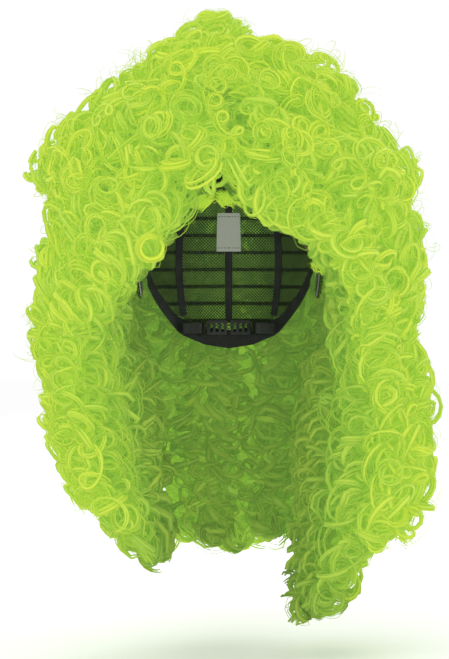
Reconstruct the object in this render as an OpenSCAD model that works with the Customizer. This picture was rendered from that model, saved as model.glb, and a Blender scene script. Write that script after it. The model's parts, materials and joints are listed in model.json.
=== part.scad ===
// Long curly costume wig: stretch cap, weft rows, adjusters and soft masses of hair.
// Frame: origin at the head centre on the hatband line, -Y is the face side,
// +X is the wearer's left, +Z is up. All sizes in mm.

/* [Cap] */
// Half width of the cap, inside
cap_half_x = 75; // [72:0.5:78]
// Half depth of the cap, inside
cap_half_y = 94; // [91:0.5:97]
// Height of the cap above the hatband line, inside
cap_half_z = 103; // [100:0.5:106]
// Thickness of the stretch net and lace
net_t = 1; // [0.6:0.1:1.2]
// Height of the cap edge at the forehead
rim_front = 50; // [46:1:54]
// Height of the cap edge at the nape
rim_nape = -72; // [-73:0.5:-70]
// Height of the elastic nape band
nape_band_h = 15; // [12:1:16]

/* [Wefts] */
// Number of weft rows on the back of the cap
back_rows = 8; // [6:1:9]
// Height of one stitched weft
weft_h = 3; // [2:0.5:4]
// Thickness of one stitched weft
weft_t = 1.6; // [1:0.1:2]

/* [Ear tabs] */
// Length of an ear tab below the cap edge
tab_l = 24; // [18:1:25]
// Width of the flat stay in an ear tab, in degrees around the head
stay_deg = 3; // [2:0.5:4]

/* [Adjusters] */
// Radius of the arc that the adjuster hooks follow
adjust_r = 43; // [42.5:0.1:43.2]
// Width of the adjuster strap
strap_w = 9; // [7:0.5:9]
// Pitch of the adjuster loops, in degrees
loop_pitch = 6; // [5:0.5:6]

/* [Hair] */
// Half width of the hair at the temples
hair_half_x = 157; // [150:1:160]
// Half depth of the hair
hair_half_y = 150; // [146:1:152]
// Height of the hair above the hatband line
hair_top = 190; // [180:1:200]
// Depth of the lumps that the curls make in the outline
curl_relief = 4; // [0:0.5:5]
// Sideways place of the parting
part_x = -13; // [-20:1:0]
// Height of the hair edge at the parting
part_z = 55; // [53:1:60]
// Height of the tip of the wearer's left fall
left_tip = -283; // [-300:1:-250]
// Height of the tip of the wearer's right fall
right_tip = -236; // [-250:1:-210]
// Height of the tip of the back fall
back_tip = -245; // [-260:1:-200]

/* [Hidden] */
hair_c = [0.58, 0.79, 0.22];
hair_c2 = [0.66, 0.83, 0.25];
net_c = [0.10, 0.10, 0.11];
band_c = [0.16, 0.16, 0.18];
hair_in = 4.5;          // where the hair masses start, outside the net
seam = 0.5;             // half the gap between neighbouring masses, in degrees
wall_z = -25;           // below this the inner side of the hair hangs straight down
side_pivot = [22, 62];  // y and z of the axis that the side falls swing about
side_r = 130;           // radius of the rounded bed that the side falls swing on
back_pivot = [111, 10]; // y and z of the axis that the back fall lifts about
back_r = 80;            // radius of the bed that the back fall swings on
bed_gap = 2;            // gap between a fall and its bed
side_cut = 45;          // the side falls stay outside this plane, the back fall inside it
bed_y = 28;             // centre of the arc that the adjusters follow
rim_line = [[0, rim_front], [30, rim_front - 6], [45, 28], [60, 0], [66, -3.8], [88, -3.8],
    [100, 3], [112, -8], [125, -35], [140, -60], [160, rim_nape + 3], [180, rim_nape]];

// ---------- shared shapes ----------

function rim(u) = lookup(u > 180 ? 360 - u : abs(u), rim_line);

// a point on the cap grown outward by o, at azimuth u from the face and height z
function on_cap(o, u, z) =
    let (k = sqrt(max(0.001, 1 - pow(z / (cap_half_z + o), 2))))
    [(cap_half_x + o) * k * sin(u), -(cap_half_y + o) * k * cos(u), z];

// flattens a grid of points to one list
function flat(g) = [for (r = g) for (p = r) p];

// a closed solid between two grids of points, h on the outside of g
module slab(g, h) {
    m = len(g) - 1;
    n = len(g[0]) - 1;
    s = (m + 1) * (n + 1);
    function at(i, j) = i * (n + 1) + j;
    faces = concat(
        [for (i = [0:m - 1]) for (j = [0:n - 1]) each [
            [s + at(i, j), s + at(i, j + 1), s + at(i + 1, j + 1)],
            [s + at(i, j), s + at(i + 1, j + 1), s + at(i + 1, j)],
            [at(i, j), at(i + 1, j), at(i + 1, j + 1)],
            [at(i, j), at(i + 1, j + 1), at(i, j + 1)]]],
        [for (i = [0:m - 1]) each [
            [s + at(i, 0), s + at(i + 1, 0), at(i + 1, 0)],
            [s + at(i, 0), at(i + 1, 0), at(i, 0)],
            [s + at(i + 1, n), s + at(i, n), at(i, n)],
            [s + at(i + 1, n), at(i, n), at(i + 1, n)]]],
        [for (j = [0:n - 1]) each [
            [s + at(0, j + 1), s + at(0, j), at(0, j)],
            [s + at(0, j + 1), at(0, j), at(0, j + 1)],
            [s + at(m, j), s + at(m, j + 1), at(m, j + 1)],
            [s + at(m, j), at(m, j + 1), at(m, j)]]]);
    polyhedron(points = concat(flat(g), flat(h)), faces = faces, convexity = 6);
}

// a strip of the cap from azimuth u0 to u1, between the heights in lo and hi, o0 to o1 outward
module cap_patch(u0, u1, lo, hi, o0, o1, n) {
    m = len(lo) - 1;
    function grid(o) = [for (i = [0:m])
        [for (j = [0:n]) on_cap(o, u0 + (u1 - u0) * i / m, lo[i] + (hi[i] - lo[i]) * j / n)]];
    slab(grid(o0), grid(o1));
}

// heights along the cap edge, raised by d, at m + 1 places from u0 to u1
function rim_run(u0, u1, m, d) = [for (i = [0:m]) rim(u0 + (u1 - u0) * i / m) + d];
function level(m, z) = [for (i = [0:m]) z];

// a dome-shaped sheet over the top of the cap, from height z0 up
module dome_sheet(z0, o0, o1, nu, nv) {
    c0 = cap_half_z + o0;
    c1 = cap_half_z + o1;
    v0 = asin(z0 / c0);
    v1 = asin(z0 / c1);
    function ring(o, c, v) = [for (i = [0:nu - 1]) on_cap(o, 360 * i / nu, c * sin(v))];
    inner = [for (j = [0:nv - 1]) each ring(o0, c0, v0 + (90 - v0) * j / nv)];
    outer = [for (j = [0:nv - 1]) each ring(o1, c1, v1 + (90 - v1) * j / nv)];
    s = nu * nv;
    function at(i, j) = j * nu + i % nu;
    faces = concat(
        [for (j = [0:nv - 2]) for (i = [0:nu - 1]) each [
            [s + at(i, j), s + at(i, j + 1), s + at(i + 1, j + 1)],
            [s + at(i, j), s + at(i + 1, j + 1), s + at(i + 1, j)],
            [at(i, j), at(i + 1, j), at(i + 1, j + 1)],
            [at(i, j), at(i + 1, j + 1), at(i, j + 1)]]],
        [for (i = [0:nu - 1]) each [
            [s + at(i, nv - 1), 2 * s + 1, s + at(i + 1, nv - 1)],
            [at(i, nv - 1), at(i + 1, nv - 1), 2 * s],
            [s + at(i, 0), s + at(i + 1, 0), at(i + 1, 0)],
            [s + at(i, 0), at(i + 1, 0), at(i, 0)]]]);
    polyhedron(points = concat(inner, outer, [[0, 0, c0], [0, 0, c1]]), faces = faces, convexity = 6);
}

// ---------- cap ----------

module front_lace() {
    color([0.20, 0.17, 0.14])
        cap_patch(-59.6, 59.6, rim_run(-59.6, 59.6, 24, 0), level(24, 62), 0, net_t, 4);
}

module front_velvet_tape() {
    color([0.45, 0.33, 0.24])
        cap_patch(-58, 58, rim_run(-58, 58, 24, 0.5), rim_run(-58, 58, 24, 6.5), -1.3, -0.5, 1);
}

module crown_net() {
    color(net_c)
        dome_sheet(62.6, 0, net_t, 40, 8);
}

module side_panel() {
    color(net_c)
        cap_patch(60.2, 112, rim_run(60.2, 112, 14, 0), level(14, 62), 0, net_t, 5);
}

module left_side_panel() {
    side_panel();
}

module right_side_panel() {
    mirror([1, 0, 0])
        side_panel();
}

module back_net() {
    lift = nape_band_h + 0.6;
    color(net_c)
        cap_patch(112.5, 247.5, [for (r = rim_run(112.5, 247.5, 30, lift)) min(r, 55)],
            level(30, 62), 0, net_t, 9);
}

module nape_band() {
    color(band_c)
        cap_patch(118, 242, rim_run(118, 242, 30, 0), rim_run(118, 242, 30, nape_band_h),
            0, net_t + 0.5, 1);
}

module ear_binding() {
    color(band_c)
        cap_patch(86, 117, rim_run(86, 117, 10, 0.3), rim_run(86, 117, 10, 5), -1.3, -0.5, 1);
}

module left_ear_binding() {
    ear_binding();
}

module right_ear_binding() {
    mirror([1, 0, 0])
        ear_binding();
}

// an elastic ribbon down the inside of the cap, centred on azimuth u
module rib(u, z0, z1) {
    color(band_c)
        cap_patch(u - 2.5, u + 2.5, level(2, z0), level(2, z1), -1.5, -0.5, 12);
}

module centre_rib() {
    rib(180, rim_nape + nape_band_h + 6, 96);
}

module left_rib() {
    rib(146, rim_nape + nape_band_h + 12, 96);
}

module right_rib() {
    rib(214, rim_nape + nape_band_h + 12, 96);
}

module crown_patch() {
    color(band_c)
        dome_sheet(99.5, net_t + 0.3, net_t + 1.3, 20, 3);
}

// a blank sewn-in label on the centre rib
module size_label() {
    color([0.92, 0.91, 0.88])
        cap_patch(172, 188, level(4, 8), level(4, 40), -2.4, -1.8, 4);
}

// ---------- wefts ----------

// a stitched weft around the back of the cap, number i counted from the nape
module back_weft(i) {
    z = rim_nape + 14 + (118 / back_rows) * (i - 0.5) * 0.96;
    u = z < -42 ? 142 : z < -28 ? 131 : z < -10 ? 121 : z < 0 ? 113 : z < 16 ? 96 : 68;
    o = net_t + 0.8;
    color(net_c)
        cap_patch(u, 360 - u, level(28, z), level(28, z + weft_h), o, o + weft_t, 1);
}

// a stitched weft around the crown at height z
module crown_weft(z) {
    color(net_c)
        cap_patch(2, 358, level(40, z), level(40, z + weft_h * 0.8), net_t + 0.2, net_t + 0.2 + weft_t, 1);
}

module weft_row_1() {
    back_weft(1);
}

module weft_row_2() {
    back_weft(2);
}

module weft_row_3() {
    back_weft(3);
}

module weft_row_4() {
    back_weft(4);
}

module weft_row_5() {
    back_weft(5);
}

module weft_row_6() {
    back_weft(6);
}

module weft_row_7() {
    back_weft(7);
}

module weft_row_8() {
    back_weft(8);
}

module crown_weft_1() {
    crown_weft(66);
}

module crown_weft_2() {
    crown_weft(80);
}

module crown_weft_3() {
    crown_weft(91);
}

// ---------- adjusters ----------

// a curved strip about the adjuster arc, from angle a0 to a1, radius r0 to r1, height z0 to z1
module arc_strip(a0, a1, r0, r1, z0, z1) {
    translate([0, bed_y, z0])
        rotate([0, 0, 90 - a1])
            rotate_extrude(angle = a1 - a0, $fn = 96)
                translate([r0, 0])
                    square([r1 - r0, z1 - z0]);
}

module loop_ladder() {
    color(band_c)
        difference() {
            arc_strip(2, 24, adjust_r + 1.6, adjust_r + 2.6, -61, -49);
            for (i = [0:2])
                arc_strip(5 + i * loop_pitch, 8 + i * loop_pitch, adjust_r + 1, adjust_r + 3, -58.5, -51.5);
        }
}

module left_loop_ladder() {
    loop_ladder();
}

module right_loop_ladder() {
    mirror([1, 0, 0])
        loop_ladder();
}

module adjuster_strap() {
    color([0.12, 0.12, 0.13])
        arc_strip(34.6, 60, adjust_r - 0.8, adjust_r, -55 - strap_w / 2, -55 + strap_w / 2);
}

module left_adjuster_strap() {
    adjuster_strap();
}

module right_adjuster_strap() {
    mirror([1, 0, 0])
        adjuster_strap();
}

// a flat buckle with a bar for the strap and a tongue that catches a loop
module adjuster_hook() {
    color([0.75, 0.76, 0.78])
        difference() {
            union() {
                arc_strip(27, 34, adjust_r - 1.1, adjust_r + 0.1, -60.5, -49.5);
                arc_strip(21, 27.2, adjust_r - 0.9, adjust_r - 0.1, -56.8, -53.2);
                arc_strip(21, 22.4, adjust_r - 0.5, adjust_r + 1.1, -56.6, -53.4);
            }
            arc_strip(30.5, 32.3, adjust_r - 2, adjust_r + 1, -59, -51);
        }
}

module left_adjuster_hook() {
    adjuster_hook();
}

module right_adjuster_hook() {
    mirror([1, 0, 0])
        adjuster_hook();
}

// ---------- ear tabs ----------

module ear_tab() {
    lo = [for (i = [0:8]) -4.6 - tab_l + 7 * pow((i - 4) / 4, 2)];
    color(net_c)
        cap_patch(66, 84, lo, level(8, -4.6), 0, net_t, 4);
}

module left_ear_tab() {
    ear_tab();
}

module right_ear_tab() {
    mirror([1, 0, 0])
        ear_tab();
}

module ear_stay() {
    color([0.55, 0.56, 0.58])
        cap_patch(75 - stay_deg / 2, 75 + stay_deg / 2, level(2, -2.6 - tab_l), level(2, -6.5),
            -0.9, -0.1, 4);
}

module left_ear_stay() {
    ear_stay();
}

module right_ear_stay() {
    mirror([1, 0, 0])
        ear_stay();
}

// ---------- hair masses on the cap ----------

in_x = cap_half_x + hair_in;
in_y = cap_half_y + hair_in;
in_z = cap_half_z + hair_in;

// how much the curls swell the outline in the direction of azimuth u and height share w
function lump(u, w) = curl_relief * sin(9 * u) * sin(330 * w + 20) / 150;

// inner and outer faces of the hair at azimuth u and height z
function hair_inner(u, z) =
    let (k = sqrt(max(0.001, 1 - pow(max(z, wall_z) / in_z, 2))))
    [in_x * k * sin(u), -in_y * k * cos(u), z];
function hair_outer(u, z) =
    let (w = min(1, z / hair_top), k = sqrt(max(0.001, 1 - w * w)), l = 1 + lump(u, w))
    [hair_half_x * k * l * sin(u), -hair_half_y * k * l * cos(u), z * (w > 0 ? l : 1)];

// inner and outer faces of the hair along a direction
function dir_inner(d) = let (n = norm(d)) [in_x * d[0], in_y * d[1], in_z * d[2]] / n;
function dir_outer(d) =
    let (n = norm(d), l = 1 + lump(atan2(d[0], -d[1]), d[2] / n))
    [hair_half_x * d[0], hair_half_y * d[1], hair_top * d[2]] * l / n;

// height of the bed of the side falls at y, and of the top share of the cap at azimuth u
function bed_z(y) =
    let (a = y < side_pivot[0] ? min(side_pivot[0] - y, 119) : min(y - side_pivot[0], side_r - 2))
    side_pivot[1] - sqrt(side_r * side_r - a * a);
function top_share(u) = let (a = (u + 45) % 90 - 45) 0.99 / sqrt(1 + pow(tan(a), 2) + 0.98);

// a mass of hair between two azimuths, with the heights of its lower edge inside and outside
module hair_mass(u0, u1, lo_in, lo_out, n) {
    m = len(lo_in) - 1;
    function az(i) = u0 + (u1 - u0) * i / m;
    function step(a, b, j) = a + (b - a) * j / n;
    slab([for (i = [0:m]) [for (j = [0:n]) hair_inner(az(i), step(lo_in[i], in_z * top_share(az(i)), j))]],
        [for (i = [0:m])
            [for (j = [0:n]) hair_outer(az(i), step(lo_out[i], hair_top * top_share(az(i)), j))]]);
}

// lower edge of the fringe at sideways place x, cut to a parting
function fringe_z(x) = max(10, part_z - 0.85 * abs(x - part_x));

module fringe(u0, u1) {
    m = 9;
    function az(i) = u0 + (u1 - u0) * i / m;
    color(hair_c2)
        hair_mass(u0, u1, rim_run(u0, u1, m, 2), [for (i = [0:m]) fringe_z(hair_half_x * sin(az(i)))], 8);
}

module fringe_left() {
    fringe(seam, 45 - seam);
}

module fringe_right() {
    fringe(-45 + seam, -seam);
}

// a mass of hair beside the head, its lower edge on the bed of the side falls
module bedded(u0, u1) {
    m = 9;
    grow = curl_relief * 1.1;
    function az(i) = u0 + (u1 - u0) * i / m;
    function edge(u) = u < 66 ? rim(u) - 4 : -90;
    color(hair_c)
        hair_mass(u0, u1, [for (i = [0:m]) max(edge(az(i)), bed_z(-in_y * cos(az(i))))],
            [for (i = [0:m]) bed_z(-(hair_half_y + grow) * cos(az(i)))], 9);
}

module temple_hair_left() {
    bedded(45 + seam, 90 - seam);
}

module temple_hair_right() {
    mirror([1, 0, 0])
        bedded(45 + seam, 90 - seam);
}

module ear_hair_left() {
    bedded(90 + seam, 135 - seam);
}

module ear_hair_right() {
    mirror([1, 0, 0])
        bedded(90 + seam, 135 - seam);
}

module back_hair_left() {
    bedded(135 + seam, 180 - seam);
}

module back_hair_right() {
    mirror([1, 0, 0])
        bedded(135 + seam, 180 - seam);
}

// a quarter of the crown, sx and sy pick the quarter
module crown_quarter() {
    m = 9;
    function dir(i, j) = [0.005 + 0.985 * j / m, 0.005 + 0.985 * i / m, 1];
    slab([for (i = [0:m]) [for (j = [m:-1:0]) dir_inner(dir(i, j))]],
        [for (i = [0:m]) [for (j = [m:-1:0]) dir_outer(dir(i, j))]]);
}

module crown_hair_back_left() {
    color(hair_c2)
        crown_quarter();
}

module crown_hair_back_right() {
    color(hair_c2)
        mirror([1, 0, 0])
            crown_quarter();
}

module crown_hair_front_left() {
    color(hair_c2)
        mirror([0, 1, 0])
            crown_quarter();
}

module crown_hair_front_right() {
    color(hair_c2)
        mirror([1, 0, 0])
            mirror([0, 1, 0])
                crown_quarter();
}

// hair on the lowest wefts, its underside rounded for the back fall
module nape_hair() {
    bed = [for (y = [147:-7:84])
        [y, back_pivot[1] - sqrt(back_r * back_r - pow(y - back_pivot[0], 2))]];
    color(hair_c)
        translate([-side_cut + 2, 0, 0])
            rotate([90, 0, 90])
                linear_extrude(2 * side_cut - 4)
                    polygon(concat(bed, [[88, -57], [101, -48], [122, -20], [147, 10]]));
}

// ---------- falls ----------

// a fall of hair beside the neck: tip height, widest reach, how late it narrows and how blunt its tip is
module side_fall(tip, reach, late, blunt) {
    m = 14;
    n = 14;
    function s(j) = j / n;
    function mid_y(j) = side_pivot[0] + 3 - 6 * (1 - s(j));
    function half_y(j) = 52 + 58 * sin(90 * pow(s(j), 0.7));
    function y(i, j) = mid_y(j) + half_y(j) * sin(180 * i / m - 90);
    function top(i) = side_pivot[1] - sqrt(pow(side_r + bed_gap, 2) - pow(y(i, n) - side_pivot[0], 2));
    function z(i, j) = top(i) * s(j) + (tip + 26 * pow(sin(180 * i / m - 90), 2)) * (1 - s(j));
    function x_in(z) = side_cut + 1 + 19 * max(0, min(1, (z + 140) / 80));
    function wide(j) = (reach - 30) * sin(90 * min(1, (s(j) + blunt) * late)) * (1 - 0.02 * s(j)) + 24;
    function swell(i, j) = curl_relief * sin(9 * 180 * i / m) * sin(650 * s(j));
    function x_out(i, j) =
        x_in(z(i, j)) + 12 + max(8, wide(j) - x_in(z(i, j)) - 12 + swell(i, j))
        * pow(max(0, cos(180 * i / m - 90)), 0.6);
    color(hair_c)
        slab([for (i = [0:m]) [for (j = [0:n]) [x_in(z(i, j)), y(i, j), z(i, j)]]],
            [for (i = [0:m]) [for (j = [0:n]) [x_out(i, j), y(i, j), z(i, j)]]]);
}

module left_fall() {
    side_fall(left_tip, 164, 2.4, 0.08);
}

module right_fall() {
    mirror([1, 0, 0])
        side_fall(right_tip, 156, 1.05, 0.25);
}

module back_fall() {
    m = 10;
    n = 12;
    w = side_cut - 2;
    function s(j) = j / n;
    function y(i, j) = 84 + (118 + 22 * sin(90 * s(j)) - 78) * i / m;
    function top(i) =
        back_pivot[1] - sqrt(pow(back_r + bed_gap, 2) - pow(y(i, n) - back_pivot[0], 2));
    function z(i, j) = top(i) * s(j) + (back_tip + 20 * pow(2 * i / m - 1, 2)) * (1 - s(j));
    color(hair_c2)
        slab([for (i = [0:m]) [for (j = [0:n]) [-w, y(i, j), z(i, j)]]],
            [for (i = [0:m]) [for (j = [0:n]) [w, y(i, j), z(i, j)]]]);
}

front_lace();
front_velvet_tape();
crown_net();
left_side_panel();
right_side_panel();
back_net();
nape_band();
left_ear_binding();
right_ear_binding();
centre_rib();
left_rib();
right_rib();
crown_patch();
size_label();
weft_row_1();
weft_row_2();
weft_row_3();
weft_row_4();
weft_row_5();
weft_row_6();
weft_row_7();
weft_row_8();
crown_weft_1();
crown_weft_2();
crown_weft_3();
left_loop_ladder();
right_loop_ladder();
left_adjuster_strap();
right_adjuster_strap();
left_adjuster_hook();
right_adjuster_hook();
left_ear_tab();
right_ear_tab();
left_ear_stay();
right_ear_stay();
fringe_left();
fringe_right();
crown_hair_front_left();
crown_hair_front_right();
crown_hair_back_left();
crown_hair_back_right();
temple_hair_left();
temple_hair_right();
ear_hair_left();
ear_hair_right();
back_hair_left();
back_hair_right();
nape_hair();
left_fall();
right_fall();
back_fall();
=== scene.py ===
"""Looks for the long curly costume wig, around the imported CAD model.

Every lock of hair is grown from the cap as real ribbons and fibres. Lengths are in mm until a mesh is built.
Azimuths are in degrees from the face towards the wearer's left, and "left" is always the wearer's.
"""

import json
import math

import bmesh
import bpy
import numpy as np
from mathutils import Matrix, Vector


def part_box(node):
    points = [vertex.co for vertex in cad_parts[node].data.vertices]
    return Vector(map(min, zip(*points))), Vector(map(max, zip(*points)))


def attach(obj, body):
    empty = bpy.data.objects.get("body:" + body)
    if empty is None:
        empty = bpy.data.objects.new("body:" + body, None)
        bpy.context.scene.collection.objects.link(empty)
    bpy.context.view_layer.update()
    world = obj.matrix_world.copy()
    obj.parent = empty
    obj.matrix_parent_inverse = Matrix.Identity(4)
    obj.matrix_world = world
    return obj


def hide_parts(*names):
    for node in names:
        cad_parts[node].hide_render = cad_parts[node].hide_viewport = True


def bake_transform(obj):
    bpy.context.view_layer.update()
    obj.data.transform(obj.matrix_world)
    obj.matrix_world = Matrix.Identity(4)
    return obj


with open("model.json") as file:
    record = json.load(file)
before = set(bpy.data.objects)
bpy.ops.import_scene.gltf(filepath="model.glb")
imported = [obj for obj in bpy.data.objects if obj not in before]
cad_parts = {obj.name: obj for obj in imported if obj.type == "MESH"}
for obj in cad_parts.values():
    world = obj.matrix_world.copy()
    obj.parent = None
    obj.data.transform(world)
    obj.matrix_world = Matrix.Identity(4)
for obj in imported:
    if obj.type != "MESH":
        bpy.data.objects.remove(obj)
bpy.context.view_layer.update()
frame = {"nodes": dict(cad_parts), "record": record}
MM = 0.001
SIDES = (("left", 1), ("right", -1))

# ---------- shape of the wig ----------

CAP = np.array([75.0, 94.0, 103.0])  # half sizes of the cap
CLEAR_OF_CAP = (81, 99, 107)  # half sizes of the form that no hair may enter
CAP_LOWEST, FACE_OPEN_Y = -70, (-85, -45)  # where that form ends: below, and in front above and below 0
LACE = (77, 96, 104)  # half sizes of the form that the short hairs of the hairline start on
LOFT = np.array([151.0, 144.0, 177.0])  # half sizes of the shell that the outermost guides follow
DEG_TO_MM = 2.7  # how far down one step of the path parameter goes below the hatband
BLEND_DOWN = 70  # the head's form turns into the falls over this height below the hatband
PART_U = -9.0  # azimuth of the parting
TOUSLE = 5.0  # how far the parting wanders from side to side, in degrees
PART_FROM = 60  # the parting starts at this height and is full at twice it
FACE_ROOM, FACE_TOP = 8.0, 70  # how far the hair stays back from the face, and up to which height
APEX_X, APEX_RISE, APEX_WIDTH, APEX_FROM = -14.0, 8.0, 20.0, 120  # the tuft where the hair is highest
LUMP_WAVES = np.array([[0.083, 0.055, 0.048], [-0.047, 0.090, 0.071], [0.062, -0.038, 0.103]])
LUMP_STARTS = np.array([0.4, 2.1, 4.0])
LUMP_SIZE = 0.022

# side falls and back fall, seen from above
FRONT_U, SEAM_U = 24, 138.0  # azimuths where the side falls start, and where the back fall takes over
FRONT_Y, FALL_DEPTH, DEPTH_LOSS = -78, 208, 0.12  # front of the side falls, their depth, its loss per mm down
PIVOT_Y, HALF_DEPTH, ROUNDNESS = 22.0, 122, 2.6  # middle of the rounded plan, its half size and its power
NECK_ROOM, LEAST_WIDTH = 7, 6  # from the neck to the innermost lock, and the least width of a fall
BACK_Y, BACK_TAPER = 78, 0.0006  # inner face of the back fall, and how much its loft shrinks per mm down
BACK_END, BACK_END_RISE = -238, 10  # height where the back fall ends, and its rise towards the sides
END_RISE = 20  # how much higher a side fall ends 100 mm in front of its middle and behind it
LUMP_REACH = 130  # size of the falls that their lumps are a share of
TURN_FORWARD, TURN_BACK = 1.8, 1.2  # pull on the outward direction beside the face, and behind

# how far the outline stands out of the plain shell, against height
SHAPE_Z = [-230, -190, -142, -94, -46, 0, 50, 74, 106, 146]
SHAPE_LEFT = [0.92, 1.00, 1.03, 0.96, 0.91, 0.99, 0.97, 1.06, 0.95, 1.03]
SHAPE_RIGHT = [0.60, 0.74, 0.89, 0.93, 1.02, 0.93, 0.90, 1.10, 1.04, 0.96]
# edge of the hair beside the face, against height: distance from the middle
FACE_LEFT_Z = [-60, -30, 0, 12, 23, 30, 36, 45, 55, 64]
FACE_LEFT_X = [62, 67, 66, 58, 47, 32, 16, 3, -9, -17]
FACE_RIGHT_Z = [-60, -30, -12, 0, 13, 30, 45, 55, 64]
FACE_RIGHT_X = [62, 67, 69, 55, 38, 26, 16, 8, 0]
# inner face of the side falls, against height
NECK_Z = [-300, -140, -60, 0]
NECK_X = [43, 44, 62, 74]
# how low the curls end, against distance from the middle
LEFT_END_X = [43, 70, 92, 108, 120, 141, 158]
LEFT_END_Z = [-286, -286, -272, -256, -238, -222, -205]
RIGHT_END_X = [43, 74, 92, 104, 121, 137, 148, 158]
RIGHT_END_Z = [-240, -240, -232, -222, -200, -176, -150, -120]
# front edge of the cap, against azimuth
RIM_U, RIM_Z = [0, 30, 45, 60, 66, 90], [50, 44, 28, 0, -4, -4]


def unit(v):
    """Each vector at length 1."""
    return v / np.maximum(np.linalg.norm(v, axis=-1, keepdims=True), 1e-9)


def smooth(t):
    """Smooth step from 0 at t = 0 to 1 at t = 1."""
    t = np.clip(t, 0, 1)
    return t * t * (3 - 2 * t)


def running_total(steps):
    """The sum of the steps so far, starting at 0."""
    return np.concatenate([[0], np.cumsum(steps)])


def resample(points, s, at):
    """Points of a path at the distances at, from points whose distances are s."""
    return np.stack([np.interp(at, s, column) for column in points.T], 1)


def from_parting(u0):
    """Azimuth counted from the parting, -180 to 180."""
    return (u0 - PART_U + 180) % 360 - 180


def spread(u0, z, w):
    """Azimuth of a guide at height z and layer w: the hair parts and slides round the face."""
    off = from_parting(u0)
    side = np.where(off < 0, -1.0, 1.0)
    reach = (1 - w) * CAP[0] + w * LOFT[0]
    left_edge = np.interp(z, FACE_LEFT_Z, FACE_LEFT_X)
    right_edge = np.interp(z, FACE_RIGHT_Z, FACE_RIGHT_X)
    clear = np.where(side > 0, left_edge, right_edge) + FACE_ROOM * (z < FACE_TOP)
    least = np.degrees(np.arcsin(np.clip(clear / reach, -0.5, 0.98)))
    high = np.clip(z / PART_FROM - 1, 0, 1)
    part = PART_U * high * np.clip(1 - np.abs(off) / 90, 0, 1)
    part = part + TOUSLE * np.sin(z / 11.0 + 1.0) * high * np.clip(1 - np.abs(off) / 60, 0, 1)
    u = part + side * (least + np.abs(off) * (1 - least / 180))
    return (u + 180) % 360 - 180


def shape(x, z):
    """How far the outline stands out at height z, on the side that x is on."""
    return np.where(x > 0, np.interp(z, SHAPE_Z, SHAPE_LEFT), np.interp(z, SHAPE_Z, SHAPE_RIGHT))


def lumps(p):
    """Slow swelling and sinking of the hair, about 1."""
    return 1 + LUMP_SIZE * np.sin(p @ LUMP_WAVES.T + LUMP_STARTS).sum(1)


def over_head(u, h, w):
    """A point of the upper part: h is the elevation in degrees, and below 0 the wall goes straight down."""
    a, e = np.radians(u), np.radians(np.maximum(h, 0))
    d = np.stack([np.cos(e) * np.sin(a), -np.cos(e) * np.cos(a), np.sin(e)], 1)
    outer = d * LOFT * lumps(d * LOFT)[:, None]
    outer[:, 0] *= shape(outer[:, 0], outer[:, 2])
    tuft = np.exp(-(((outer[:, 0] - APEX_X) / APEX_WIDTH) ** 2))
    outer[:, 2] += APEX_RISE * tuft * (outer[:, 2] > APEX_FROM)
    p = (1 - w)[:, None] * CAP * d + w[:, None] * outer
    p[:, 2] += np.minimum(h, 0) * DEG_TO_MM
    return p


def beside_neck(u, z, w):
    """A point of the falls: beside the neck out to the widest curls, and behind it."""
    a = np.abs(u)
    side = np.sign(u)
    x_in = np.interp(z, NECK_Z, NECK_X) + NECK_ROOM
    q = np.clip((a - FRONT_U) / (SEAM_U - FRONT_U), 0, 1)
    y = FRONT_Y + q * (FALL_DEPTH + np.clip(z, -200, 0) * DEPTH_LOSS)
    round_off = np.clip(1 - np.abs((y - PIVOT_Y) / HALF_DEPTH) ** ROUNDNESS, 0.02, 1) ** (1 / ROUNDNESS)
    x_out = LOFT[0] * round_off * shape(u, z)
    x = x_in + w * np.maximum(x_out - x_in, LEAST_WIDTH)
    qb = np.clip((a - SEAM_U) / (180 - SEAM_U), 0, 1)
    xb = (1 - qb) * (x_in - 2)
    yb = BACK_Y + w * (LOFT[1] * (1 + np.clip(z, -245, 0) * BACK_TAPER) - BACK_Y)
    back = a > SEAM_U
    p = np.stack([side * np.where(back, xb, x), np.where(back, yb, y), z], 1)
    swell = (lumps(p) - 1) * w * LUMP_REACH
    p[:, 0] += side * np.where(back, 0, swell)
    p[:, 1] += np.where(back, swell, 0)
    return p


def place(u0, h, w):
    """Guide points for path parameter h and layer w, both arrays."""
    z_top = np.sin(np.radians(np.maximum(h, 0))) * ((1 - w) * CAP[2] + w * LOFT[2])
    z = np.where(h > 0, z_top, h * DEG_TO_MM)
    u = spread(u0, z, w)
    low = smooth(-z / BLEND_DOWN)[:, None]
    return over_head(u, h, w) * (1 - low) + beside_neck(u, z, w) * low


def facing(u0, h, normal):
    """Turns the outward direction of the falls to the front beside the face, and to the back behind."""
    a = abs(from_parting(u0))
    turn = -TURN_FORWARD * smooth((48 - a) / 30) + TURN_BACK * smooth((a - 100) / 25)
    turn = turn * smooth(-np.asarray(h) / 15)
    return unit(normal + np.stack([0 * turn, turn, 0 * turn], -1))


def local_frame(u0, h, w):
    """A point of layer w, and the directions outwards and down the hair there."""
    u, heights, layers = np.full(2, float(u0)), np.array([h, h - 2.0]), np.full(2, float(w))
    here, below = place(u, heights, layers)
    out = unit(place(u, heights, layers + 0.05)[0] - here)
    return here, out, unit(below - here)


def end_param(u0, w):
    """Path parameter where a lock of azimuth u0 in layer w ends."""
    one = np.array([1.0])
    u = spread(u0 * one, -60 * one, w * one)[0]
    x, y, _ = beside_neck(u * one, -150 * one, w * one)[0]
    if abs(u) > SEAM_U:
        return (BACK_END + BACK_END_RISE * (abs(x) / 47)) / DEG_TO_MM
    ends = (LEFT_END_X, LEFT_END_Z) if u > 0 else (RIGHT_END_X, RIGHT_END_Z)
    rise = END_RISE * ((y - PIVOT_Y) / 100) ** 2
    return (np.interp(abs(x), *ends) + rise) / DEG_TO_MM


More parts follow.
